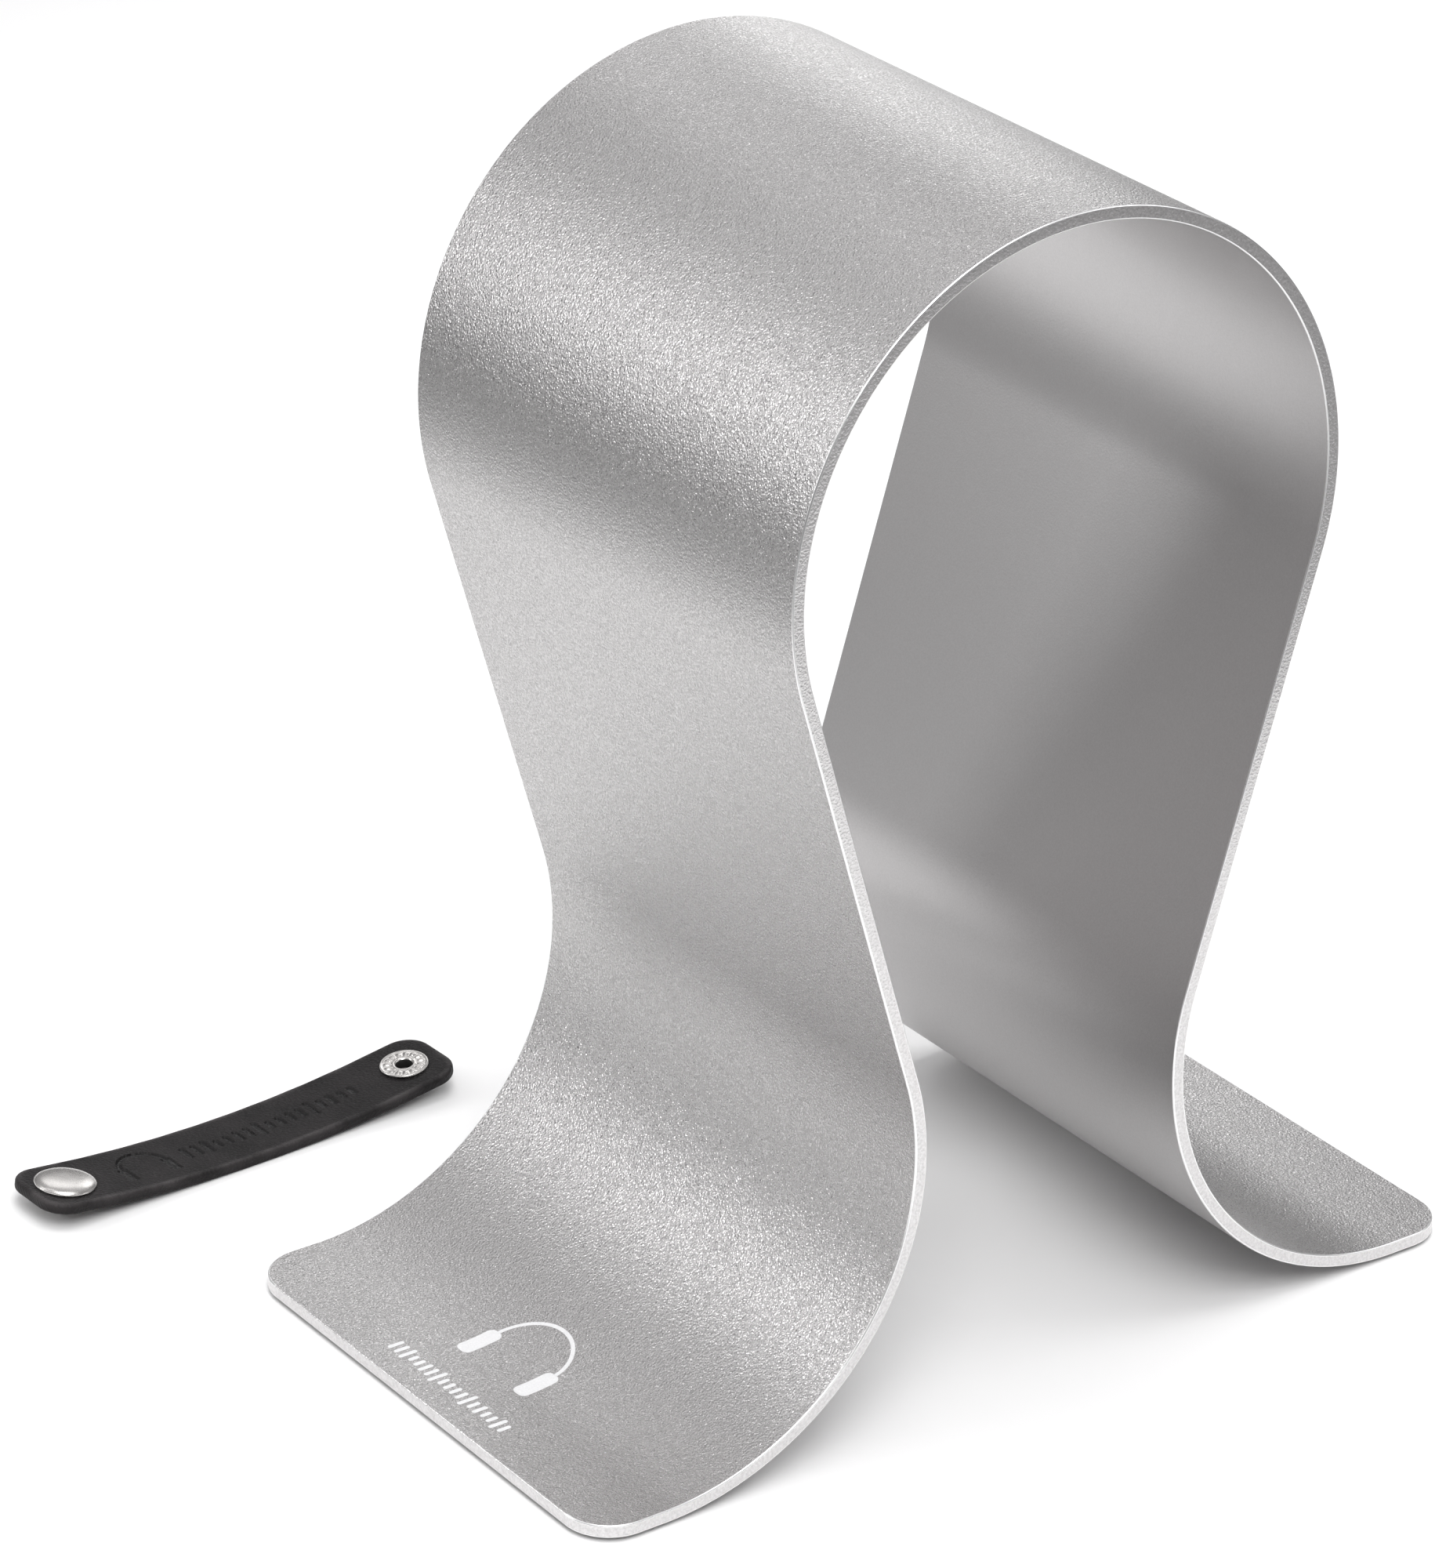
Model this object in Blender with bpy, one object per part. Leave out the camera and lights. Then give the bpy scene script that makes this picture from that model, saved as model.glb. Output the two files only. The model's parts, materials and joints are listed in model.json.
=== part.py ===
"""Omega-shaped headphone stand of one bent aluminium sheet, with its snap-fastened leather cable wrap.

The stand is designed about its own middle: X along the bent outline, Y across the sheet, Z up.
The wrap lies on the desk beyond the sheet's far edge.  The last step moves the whole set so that
the origin is at the bottom centre of the box around all the pieces.
"""
import math

import bmesh
import bpy
from mathutils import Matrix, Vector

MM = 0.001

# Stand
STAND_HEIGHT = 270.0 * MM
SHEET_THICKNESS = 3.0 * MM
SHEET_WIDTH = 135.0 * MM
ARCH_RADIUS = 68.5 * MM          # middle of the sheet
FOOT_BEND_RADIUS = 64.6 * MM     # middle of the sheet
LEG_LEAN = math.radians(16.8)    # legs lean inwards below the arch
FOOT_FLAT = 17.5 * MM
FOOT_CORNER_RADIUS = 11.0 * MM
EDGE_CHAMFER = 0.4 * MM
ARCH_FACETS = 51                 # odd, so that one facet lies flat on the crest
FOOT_BEND_FACETS = 24
CORNER_STATIONS = 7

# Anti-slip pads under the feet
PAD_STAND_OFF = 1.0 * MM
PAD_DIAMETER = 12.0 * MM
PAD_INSET_X = 8.8 * MM           # from the foot's end to the pad's centre
PAD_INSET_Y = 14.0 * MM          # from the sheet's long edge to the pad's centre
GAP = 0.3 * MM                   # between pieces that touch

# Leather wrap: one strap, split where it bends
STRAP_LENGTH = 113.5 * MM
STRAP_WIDTH = 21.0 * MM
STRAP_THICKNESS = 2.4 * MM
STRAP_CORNER_RADIUS = 6.6 * MM
STRAP_END_LENGTH = 20.0 * MM
STRAP_MIDDLE_PIECES = 7
STRAP_CURL = math.radians(1.8)   # upward bend at each joint, because the snap lifts the ends
STRAP_TURN = math.radians(2.5)   # the strap's direction on the desk, from +X
STRAP_CENTRE = (-86.1 * MM, 121.2 * MM)
WRAP_HINGE_HEIGHT = 0.5 * MM     # of the line on the desk that the cap end turns about

# Snap fastener; heights count from the leather's top or underside, away from the leather
SNAP_FROM_END = 9.6 * MM
SNAP_HOLE_RADIUS = 2.1 * MM
SNAP_GAP = 0.2 * MM
SNAP_STEPS = 36
CAP_RADIUS = 7.1 * MM
CAP_HEIGHT = 1.7 * MM
CAP_RIM_HEIGHT = 0.55 * MM
CAP_WALL = 0.45 * MM
SOCKET_RADIUS = 5.9 * MM
SOCKET_HEIGHT = 2.2 * MM
SOCKET_MOUTH_RADIUS = 2.95 * MM
RING_RADIUS = 3.2 * MM
RING_WIRE_RADIUS = 0.25 * MM
RING_SPLIT = math.radians(40.0)
STUD_RADIUS = 5.4 * MM
STUD_HEIGHT = 1.9 * MM
STUD_NOSE_RADIUS = 2.2 * MM
POST_RADIUS = 5.7 * MM
BARREL_RADIUS = 1.75 * MM
BARREL_BORE_RADIUS = 1.35 * MM


def clear_scene():
    for obj in list(bpy.data.objects):
        bpy.data.objects.remove(obj, do_unlink=True)


def material(name, colour, roughness, metallic):
    made = bpy.data.materials.new(name)
    made.use_nodes = True
    shader = made.node_tree.nodes["Principled BSDF"]
    shader.inputs["Base Color"].default_value = (*colour, 1.0)
    shader.inputs["Roughness"].default_value = roughness
    shader.inputs["Metallic"].default_value = metallic
    return made


def empty(name, parent=None, matrix=None):
    made = bpy.data.objects.new(name, None)
    bpy.context.scene.collection.objects.link(made)
    made.parent = parent
    made.matrix_local = matrix or Matrix.Identity(4)
    return made


def mesh_object(name, bm, finish, parent, place=(0.0, 0.0, 0.0), smooth_angle=30.0):
    bmesh.ops.recalc_face_normals(bm, faces=bm.faces)
    mesh = bpy.data.meshes.new(name)
    bm.to_mesh(mesh)
    bm.free()
    mesh.shade_smooth()
    mesh.set_sharp_from_angle(angle=math.radians(smooth_angle))
    mesh.materials.append(finish)
    made = bpy.data.objects.new(name, mesh)
    bpy.context.scene.collection.objects.link(made)
    made.parent = parent
    made.location = place
    return made


# ---------------------------------------------------------------- stand

def half_profile():
    """Mid-sheet points (x, z) of the right half, from the foot's end to the crest."""
    arch_z = STAND_HEIGHT - SHEET_THICKNESS / 2 - ARCH_RADIUS
    bend_z = PAD_STAND_OFF + SHEET_THICKNESS / 2 + FOOT_BEND_RADIUS
    quarter_and_lean = math.pi / 2 + LEG_LEAN
    drop = arch_z - bend_z - (ARCH_RADIUS + FOOT_BEND_RADIUS) * math.sin(LEG_LEAN)
    leg_x = ARCH_RADIUS * math.cos(LEG_LEAN) - drop * math.tan(LEG_LEAN)
    bend_x = leg_x + FOOT_BEND_RADIUS * math.cos(LEG_LEAN)
    foot_z = bend_z - FOOT_BEND_RADIUS

    points = []
    for station in range(CORNER_STATIONS):
        sweep = math.pi / 2 * station / CORNER_STATIONS
        inset = FOOT_CORNER_RADIUS * (1 - math.cos(sweep))
        points.append((bend_x + FOOT_FLAT - inset, foot_z))
    points.append((bend_x + FOOT_FLAT - FOOT_CORNER_RADIUS, foot_z))
    for facet in range(FOOT_BEND_FACETS + 1):
        turn = quarter_and_lean * facet / FOOT_BEND_FACETS
        points.append((bend_x - FOOT_BEND_RADIUS * math.sin(turn),
                       bend_z - FOOT_BEND_RADIUS * math.cos(turn)))
    half_facets = ARCH_FACETS / 2
    for facet in range(ARCH_FACETS // 2 + 1):
        turn = quarter_and_lean * (half_facets - facet) / half_facets
        points.append((ARCH_RADIUS * math.sin(turn), arch_z + ARCH_RADIUS * math.cos(turn)))
    return points


def half_width(from_end):
    """Half the sheet's width at a distance from the foot's end, rounded off at the corners."""
    if from_end >= FOOT_CORNER_RADIUS:
        return SHEET_WIDTH / 2
    short = FOOT_CORNER_RADIUS - from_end
    return SHEET_WIDTH / 2 - FOOT_CORNER_RADIUS + math.sqrt(FOOT_CORNER_RADIUS ** 2 - short ** 2)


def build_stand_plate(finish, parent):
    right = half_profile()
    foot_end = right[0][0]
    bm = bmesh.new()
    rows = []
    for x, z in right + [(-x, z) for x, z in reversed(right)]:
        near_foot = z <= right[0][1] + SHEET_THICKNESS
        half = half_width(foot_end - abs(x)) if near_foot else SHEET_WIDTH / 2
        rows.append([bm.verts.new((x, side * half, z)) for side in (-1, 1)])
    for row, following in zip(rows, rows[1:]):
        bm.faces.new((row[0], row[1], following[1], following[0]))
    plate = mesh_object("stand_plate", bm, finish, parent)

    thicken = plate.modifiers.new("sheet", "SOLIDIFY")
    thicken.thickness = SHEET_THICKNESS
    thicken.offset = 0.0
    thicken.use_even_offset = True
    chamfer = plate.modifiers.new("chamfer", "BEVEL")
    chamfer.width = EDGE_CHAMFER
    chamfer.segments = 1
    chamfer.limit_method = "ANGLE"
    chamfer.angle_limit = math.radians(60.0)
    return foot_end


def build_pads(foot_end, finish, parent):
    thickness = PAD_STAND_OFF - GAP
    for end_name, end in (("left", -1), ("right", 1)):
        for edge_name, edge in (("near", -1), ("far", 1)):
            bm = bmesh.new()
            bmesh.ops.create_cone(bm, cap_ends=True, segments=32, radius1=PAD_DIAMETER / 2,
                                  radius2=PAD_DIAMETER / 2 - GAP, depth=thickness)
            place = (end * (foot_end - PAD_INSET_X),
                     edge * (SHEET_WIDTH / 2 - PAD_INSET_Y), thickness / 2)
            mesh_object(f"foot_pad_{end_name}_{edge_name}", bm, finish, parent, place)


# ---------------------------------------------------------------- leather wrap

def strap_piece_lengths():
    middle = (STRAP_LENGTH - 2 * STRAP_END_LENGTH) / STRAP_MIDDLE_PIECES
    return [STRAP_END_LENGTH] + [middle] * STRAP_MIDDLE_PIECES + [STRAP_END_LENGTH]


def strap_piece_starts():
    """For each piece: the start (along, up) of its underside and its slope, with the lowest at 0."""
    lengths = strap_piece_lengths()
    slope = -STRAP_CURL * (len(lengths) - 1) / 2
    along = up = lowest = 0.0
    starts = []
    for length in lengths:
        starts.append((along, up, slope))
        along += length * math.cos(slope)
        up += length * math.sin(slope)
        lowest = min(lowest, up)
        slope += STRAP_CURL
    return [(a - along / 2, u - lowest, s) for a, u, s in starts]


def wrap_joint_offsets():
    """Each piece's joint, from the start of its underside, in the piece's own sloped frame."""
    last = len(strap_piece_lengths()) - 1
    offsets = []
    for index, (_, up, slope) in enumerate(strap_piece_starts()):
        if index == 0:
            down = up - WRAP_HINGE_HEIGHT
            offsets.append(Vector((-down * math.sin(slope), 0.0, -down * math.cos(slope))))
        elif index in (1, last):
            offsets.append(Vector((0.0, 0.0, STRAP_THICKNESS)))
        else:
            offsets.append(Vector((0.0, 0.0, 0.0)))
    return offsets


def strap_outline(length, rounded_start, rounded_end):
    half = STRAP_WIDTH / 2
    radius = STRAP_CORNER_RADIUS
    corners = ((length - GAP / 2, half, 0.0, rounded_end), (GAP / 2, half, 90.0, rounded_start),
               (GAP / 2, -half, 180.0, rounded_start), (length - GAP / 2, -half, 270.0, rounded_end))
    points = []
    for x, y, start_angle, is_round in corners:
        if not is_round:
            points.append((x, y))
            continue
        centre_x = x - math.copysign(radius, x - length / 2)
        centre_y = y - math.copysign(radius, y)
        for step in range(9):
            angle = math.radians(start_angle + 90.0 * step / 8)
            points.append((centre_x + radius * math.cos(angle), centre_y + radius * math.sin(angle)))
    return points


def build_strap_piece(name, length, rounded_start, rounded_end, finish, joint, offset):
    """One length of leather; its local origin is on the joint, its underside starts at -offset."""
    bm = bmesh.new()
    outline = [bm.verts.new((x - offset.x, y, -offset.z))
               for x, y in strap_outline(length, rounded_start, rounded_end)]
    face = bm.faces.new(outline)
    raised = bmesh.ops.extrude_face_region(bm, geom=[face])
    top = [item for item in raised["geom"] if isinstance(item, bmesh.types.BMVert)]
    bmesh.ops.translate(bm, verts=top, vec=(0.0, 0.0, STRAP_THICKNESS))
    leather = mesh_object(name, bm, finish, joint)
    if rounded_start or rounded_end:
        along = SNAP_FROM_END if rounded_start else length - SNAP_FROM_END
        cut_snap_hole(leather, joint, Vector((along, 0.0, 0.0)) - offset)
    return leather


def cut_snap_hole(leather, joint, centre):
    bm = bmesh.new()
    bmesh.ops.create_cone(bm, cap_ends=True, segments=24, radius1=SNAP_HOLE_RADIUS,
                          radius2=SNAP_HOLE_RADIUS, depth=3 * STRAP_THICKNESS)
    cutter = mesh_object(leather.name + "_cutter", bm, leather.data.materials[0], joint, centre)
    cutter.hide_render = True
    cutter.display_type = "WIRE"
    hole = leather.modifiers.new("snap_hole", "BOOLEAN")
    hole.operation = "DIFFERENCE"
    hole.solver = "EXACT"
    hole.object = cutter


# ---------------------------------------------------------------- snap fastener

def turned(name, outline, finish, parent, place):
    """A piece turned about Z from a closed outline of (radius, height) points."""
    bm = bmesh.new()
    verts = [bm.verts.new((radius, 0.0, height)) for radius, height in outline]
    edges = [bm.edges.new((a, b)) for a, b in zip(verts, verts[1:])]
    if outline[0][0] > 0.0:
        edges.append(bm.edges.new((verts[-1], verts[0])))
    bmesh.ops.spin(bm, geom=verts + edges, cent=(0.0, 0.0, 0.0), axis=(0.0, 0.0, 1.0),
                   angle=2 * math.pi, steps=SNAP_STEPS, use_merge=True)
    bmesh.ops.remove_doubles(bm, verts=bm.verts, dist=1e-6)
    return mesh_object(name, bm, finish, parent, place)


def dome(radius, rim_height, top_height, steps=6):
    """Points of a shallow spherical dome, rim to crown."""
    rise = top_height - rim_height
    sphere = (radius ** 2 + rise ** 2) / (2 * rise)
    half_angle = math.asin(radius / sphere)
    points = []
    for step in range(steps + 1):
        angle = half_angle * (1 - step / steps)
        points.append((sphere * math.sin(angle), top_height - sphere * (1 - math.cos(angle))))
    return points


def build_cap(finish, parent, centre):
    """Domed shell, open below, with its rim curled in towards the leather."""
    top = STRAP_THICKNESS
    outside = dome(CAP_RADIUS, CAP_RIM_HEIGHT, CAP_HEIGHT)
    inside = dome(CAP_RADIUS - CAP_WALL, CAP_RIM_HEIGHT, CAP_HEIGHT - CAP_WALL)
    rim = [(CAP_RADIUS - CAP_WALL, SNAP_GAP), (CAP_RADIUS - CAP_WALL / 3, SNAP_GAP)]
    outline = list(reversed(inside)) + rim + outside
    turned("snap_cap", [(r, top + z) for r, z in outline], finish, parent, centre)


def build_cap_shank(finish, parent, centre):
    """Hollow rivet under the cap: it passes through the leather and is rolled over in the socket."""
    top = STRAP_THICKNESS
    flange = 4.0 * MM
    rolled = 2.3 * MM
    outline = [(BARREL_BORE_RADIUS, top + 0.6 * MM), (BARREL_BORE_RADIUS, -0.9 * MM),
               (rolled, -0.9 * MM), (rolled, -0.75 * MM), (BARREL_RADIUS, -0.75 * MM),
               (BARREL_RADIUS, top + SNAP_GAP), (flange, top + SNAP_GAP), (flange, top + 0.6 * MM)]
    turned("snap_cap_shank", outline, finish, parent, centre)


def build_socket(finish, parent, centre):
    """Cup on the underside, whose turned-in lip keeps the ring spring in."""
    plate = 0.55 * MM
    lip = 0.35 * MM
    cavity = SOCKET_RADIUS - 1.3 * MM
    throat = BARREL_RADIUS + SNAP_GAP
    outline = [(throat, -SNAP_GAP), (SOCKET_RADIUS - 0.5 * MM, -SNAP_GAP),
               (SOCKET_RADIUS, -2.5 * SNAP_GAP), (SOCKET_RADIUS, -SOCKET_HEIGHT + 0.6 * MM),
               (SOCKET_RADIUS - 0.5 * MM, -SOCKET_HEIGHT), (SOCKET_MOUTH_RADIUS, -SOCKET_HEIGHT),
               (SOCKET_MOUTH_RADIUS, -SOCKET_HEIGHT + lip), (cavity, -SOCKET_HEIGHT + lip),
               (cavity, -plate), (throat, -plate)]
    turned("snap_socket", outline, finish, parent, centre)


def build_ring_spring(finish, parent, centre):
    """Split ring of round wire that grips the stud's nose."""
    curve = bpy.data.curves.new("snap_ring_spring", "CURVE")
    curve.dimensions = "3D"
    curve.bevel_depth = RING_WIRE_RADIUS
    curve.bevel_resolution = 2
    curve.use_fill_caps = True
    spline = curve.splines.new("POLY")
    count = 28
    spline.points.add(count - 1)
    for index, point in enumerate(spline.points):
        angle = RING_SPLIT / 2 + (2 * math.pi - RING_SPLIT) * index / (count - 1)
        point.co = (RING_RADIUS * math.cos(angle), RING_RADIUS * math.sin(angle), 0.0, 1.0)
    curve.materials.append(finish)
    ring = bpy.data.objects.new("snap_ring_spring", curve)
    bpy.context.scene.collection.objects.link(ring)
    ring.parent = parent
    ring.location = centre + Vector((0.0, 0.0, -SOCKET_HEIGHT + 0.8 * MM))


def build_stud(finish, parent, centre):
    """Disc with a hollow nose, on the underside of the other end."""
    disc = 0.7 * MM
    bore = BARREL_RADIUS + 0.15 * MM
    neck = STUD_NOSE_RADIUS - 0.15 * MM
    outline = [(0.0, -STUD_HEIGHT), (STUD_NOSE_RADIUS - 0.5 * MM, -STUD_HEIGHT),
               (STUD_NOSE_RADIUS - 0.1 * MM, -STUD_HEIGHT + 0.2 * MM),
               (STUD_NOSE_RADIUS, -STUD_HEIGHT + 0.55 * MM), (neck, -disc - 0.2 * MM),
               (neck, -disc), (STUD_RADIUS, -disc), (STUD_RADIUS, -SNAP_GAP), (bore, -SNAP_GAP),
               (bore, -STUD_HEIGHT + 0.3 * MM), (0.0, -STUD_HEIGHT + 0.3 * MM)]
    turned("snap_stud", outline, finish, parent, centre)


def build_post(finish, parent, centre):
    """Eyelet: a flat ring on top of the leather and a barrel that goes down into the stud."""
    top = STRAP_THICKNESS
    funnel = BARREL_BORE_RADIUS + 0.9 * MM
    end = -1.1 * MM
    outline = [(BARREL_BORE_RADIUS, end), (BARREL_RADIUS, end), (BARREL_RADIUS, top + SNAP_GAP),
               (POST_RADIUS - 0.2 * MM, top + SNAP_GAP), (POST_RADIUS, top + 2 * SNAP_GAP),
               (POST_RADIUS - 0.3 * MM, top + 3.5 * SNAP_GAP), (funnel, top + 3.5 * SNAP_GAP),
               (BARREL_BORE_RADIUS, top)]
    turned("snap_post", outline, finish, parent, centre)


def build_wrap(finishes, parent):
    turn = Matrix.Rotation(STRAP_TURN, 4, "Z")
    place = Matrix.Translation((*STRAP_CENTRE, 0.0)) @ turn
    wrap = empty("wrap_frame", parent, place)
    lengths = strap_piece_lengths()
    last = len(lengths) - 1
    offsets = wrap_joint_offsets()
    for index, (along, up, slope) in enumerate(strap_piece_starts()):
        tilt = Matrix.Rotation(-slope, 4, "Y")
        offset = offsets[index]
        frame = Matrix.Translation((along, 0.0, up)) @ tilt @ Matrix.Translation(offset)
        joint = empty(f"wrap_joint_{index + 1}", wrap, frame)
        build_strap_piece(f"strap_leather_{index + 1}", lengths[index], index == 0, index == last,
                          finishes["leather"], joint, offset)
        if index == 0:
            snap = Vector((SNAP_FROM_END, 0.0, 0.0)) - offset
            build_cap(finishes["nickel"], joint, snap)
            build_cap_shank(finishes["nickel"], joint, snap)
            build_socket(finishes["nickel"], joint, snap)
            build_ring_spring(finishes["spring"], joint, snap)
        if index == last:
            snap = Vector((lengths[last] - SNAP_FROM_END, 0.0, 0.0)) - offset
            build_stud(finishes["nickel"], joint, snap)
            build_post(finishes["nickel"], joint, snap)


def centre_on_base(row_frame):
    """Moves the set so that the origin is at the bottom centre of its box."""
    bpy.context.view_layer.update()
    graph = bpy.context.evaluated_depsgraph_get()
    low = Vector((math.inf, math.inf))
    high = -low
    for obj in bpy.data.objects:
        if obj.type not in {"MESH", "CURVE"} or obj.hide_render:
            continue
        evaluated = obj.evaluated_get(graph)
        mesh = evaluated.to_mesh()
        for vertex in mesh.vertices:
            point = obj.matrix_world @ vertex.co
            for axis in (0, 1):
                low[axis] = min(low[axis], point[axis])
                high[axis] = max(high[axis], point[axis])
        evaluated.to_mesh_clear()
    middle = (low + high) / 2
    row_frame.location = (-middle.x, -middle.y, 0.0)


def main():
    clear_scene()
    finishes = {
        "aluminium": material("anodised_aluminium", (0.72, 0.71, 0.71), 0.38, 1.0),
        "rubber": material("pad_rubber", (0.03, 0.03, 0.03), 0.8, 0.0),
        "leather": material("strap_leather", (0.035, 0.03, 0.03), 0.5, 0.0),
        "nickel": material("snap_nickel", (0.75, 0.73, 0.71), 0.22, 1.0),
        "spring": material("ring_spring_steel", (0.6, 0.6, 0.6), 0.3, 1.0),
    }
    row_frame = empty("row_frame")
    foot_end = build_stand_plate(finishes["aluminium"], row_frame)
    build_pads(foot_end, finishes["rubber"], row_frame)
    build_wrap(finishes, row_frame)
    centre_on_base(row_frame)


main()
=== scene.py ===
import json
import math

import bmesh
import bpy
from mathutils import Matrix, Vector

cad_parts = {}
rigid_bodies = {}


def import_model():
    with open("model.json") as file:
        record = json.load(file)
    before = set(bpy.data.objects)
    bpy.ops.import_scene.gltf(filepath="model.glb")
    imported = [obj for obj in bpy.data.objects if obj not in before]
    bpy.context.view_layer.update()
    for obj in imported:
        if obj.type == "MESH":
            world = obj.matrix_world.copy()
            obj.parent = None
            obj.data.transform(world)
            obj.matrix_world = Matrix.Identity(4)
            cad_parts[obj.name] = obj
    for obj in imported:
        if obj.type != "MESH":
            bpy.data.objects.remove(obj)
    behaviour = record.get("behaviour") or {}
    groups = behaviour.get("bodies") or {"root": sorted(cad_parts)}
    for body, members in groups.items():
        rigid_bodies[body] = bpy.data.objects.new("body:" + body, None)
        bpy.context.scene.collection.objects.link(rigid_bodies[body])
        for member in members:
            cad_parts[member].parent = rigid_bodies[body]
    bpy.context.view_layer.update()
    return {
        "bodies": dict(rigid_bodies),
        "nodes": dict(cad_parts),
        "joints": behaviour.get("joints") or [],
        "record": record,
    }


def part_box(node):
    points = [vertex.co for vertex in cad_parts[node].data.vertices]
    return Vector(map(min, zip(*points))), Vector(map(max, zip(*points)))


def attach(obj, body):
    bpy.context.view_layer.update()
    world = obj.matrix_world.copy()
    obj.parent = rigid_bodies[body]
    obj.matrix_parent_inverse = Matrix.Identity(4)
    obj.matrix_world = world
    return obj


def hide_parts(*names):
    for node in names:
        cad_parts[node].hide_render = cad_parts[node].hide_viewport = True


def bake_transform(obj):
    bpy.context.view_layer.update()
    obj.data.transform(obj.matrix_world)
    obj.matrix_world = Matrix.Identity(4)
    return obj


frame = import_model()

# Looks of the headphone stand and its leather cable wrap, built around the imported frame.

MM = 0.001

# ---------------------------------------------------------------- sizes, read from the frame

PLATE_LOW, PLATE_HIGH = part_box("stand_plate")
STAND_X = (PLATE_LOW.x + PLATE_HIGH.x) / 2
STAND_Y = (PLATE_LOW.y + PLATE_HIGH.y) / 2
SHEET_UNDERSIDE = PLATE_LOW.z
SHEET_WIDTH = PLATE_HIGH.y - PLATE_LOW.y

# The bent outline, as the CAD part has it
STAND_HEIGHT = 270.0 * MM
SHEET_THICKNESS = 3.0 * MM
ARCH_RADIUS = 68.5 * MM
FOOT_BEND_RADIUS = 64.6 * MM
LEG_LEAN = math.radians(16.8)
FOOT_FLAT = 17.5 * MM
FOOT_CORNER_RADIUS = 11.0 * MM
EDGE_ROUND = 0.35 * MM

# The wrap, as the CAD part has it
STRAP_LENGTH = 113.5 * MM
STRAP_WIDTH = 21.0 * MM
STRAP_THICKNESS = 2.4 * MM
STRAP_CORNER_RADIUS = 6.6 * MM
STRAP_END_LENGTH = 20.0 * MM
STRAP_MIDDLE_PIECES = 7
STRAP_CURL = math.radians(1.8)
STRAP_TURN = math.radians(2.5)
STRAP_CENTRE = (STAND_X - 86.1 * MM, STAND_Y + 121.2 * MM)
SNAP_FROM_END = 9.6 * MM
SNAP_HOLE_RADIUS = 2.1 * MM
STRAP_EDGE_ROUND = 0.7 * MM
STRAP_RIGID_END = 17.2 * MM         # from each tip, the length that the snap keeps from bending
STRAP_JOIN_REACH = 5.0 * MM         # how far from a join the two lengths are eased together

# The marks pressed into the leather
MARK_CENTRE = 31.0 * MM
MARK_SIZE = 14.0 * MM
MARK_LINE = 1.05 * MM
MARK_DEPTH = 0.48 * MM
MARK_WALL = 0.18 * MM
BARS_START = 42.5 * MM
BARS_PITCH = 2.9 * MM
BARS_COUNT = 17
BARS_HALF_HEIGHT = 3.2 * MM
BARS_WIDTH = 1.3 * MM

# The snap fastener
CAP_RADIUS = 7.1 * MM
CAP_HEIGHT = 1.7 * MM
CAP_RIM_HEIGHT = 0.55 * MM
CAP_WALL = 0.45 * MM
SOCKET_RADIUS = 5.9 * MM
SOCKET_HEIGHT = 2.2 * MM
SOCKET_MOUTH_RADIUS = 2.95 * MM
RING_RADIUS = 3.2 * MM
RING_WIRE_RADIUS = 0.25 * MM
RING_SPLIT = math.radians(40.0)
STUD_RADIUS = 5.4 * MM
STUD_HEIGHT = 1.9 * MM
STUD_NOSE_RADIUS = 2.2 * MM
POST_RADIUS = 5.7 * MM
BARREL_RADIUS = 1.75 * MM
BARREL_BORE_RADIUS = 1.35 * MM
SNAP_GAP = 0.2 * MM

# The mark printed on the left foot
PRINT_THICKNESS = 0.03 * MM
PRINT_CENTRE = 28.0 * MM
PRINT_SIZE = 26.0 * MM
PRINT_LINE = 1.0 * MM
PRINT_BARS_FROM_END = 8.2 * MM
PRINT_BARS_COUNT = 19
PRINT_BARS_LENGTH = 42.0 * MM
PRINT_BARS_FIRST = 20.5 * MM        # from the middle of the sheet to the first bar
PRINT_BARS_HALF_HEIGHT = 2.6 * MM

# ---------------------------------------------------------------- camera

CAMERA_TARGET = (STAND_X - 37.8 * MM, STAND_Y, 127.6 * MM)
CAMERA_DISTANCE = 1413.7 * MM
CAMERA_YAW = math.radians(35.73)
CAMERA_PITCH = math.radians(25.97)
CAMERA_ROLL = math.radians(0.69)
CAMERA_LENS = 153.8

PAPER_HALF_WIDTH = 0.40
PAPER_FRONT = 0.30
PAPER_FADE = 0.07
PAPER_WHITE = (0.92, 0.92, 0.92)
FLOOR_GREY = (0.32, 0.32, 0.32)
ROOM_LOW = 0.16
ROOM_HIGH = 0.52


def make_camera():
    yaw_out = Vector((math.sin(CAMERA_YAW), math.cos(CAMERA_YAW), 0.0))
    right = Vector((math.cos(CAMERA_YAW), -math.sin(CAMERA_YAW), 0.0))
    ahead = yaw_out * math.cos(CAMERA_PITCH) - Vector((0.0, 0.0, math.sin(CAMERA_PITCH)))
    up = right.cross(ahead)
    rolled_right = right * math.cos(CAMERA_ROLL) + up * math.sin(CAMERA_ROLL)
    rolled_up = up * math.cos(CAMERA_ROLL) - right * math.sin(CAMERA_ROLL)
    data = bpy.data.cameras.new("camera")
    data.lens = CAMERA_LENS
    data.sensor_width = 36.0
    data.clip_start = 0.05
    camera = bpy.data.objects.new("camera", data)
    bpy.context.scene.collection.objects.link(camera)
    turn = Matrix((rolled_right, rolled_up, -ahead)).transposed().to_4x4()
    camera.matrix_world = Matrix.Translation(Vector(CAMERA_TARGET) - ahead * CAMERA_DISTANCE) @ turn
    bpy.context.scene.camera = camera


# ---------------------------------------------------------------- studio

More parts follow.
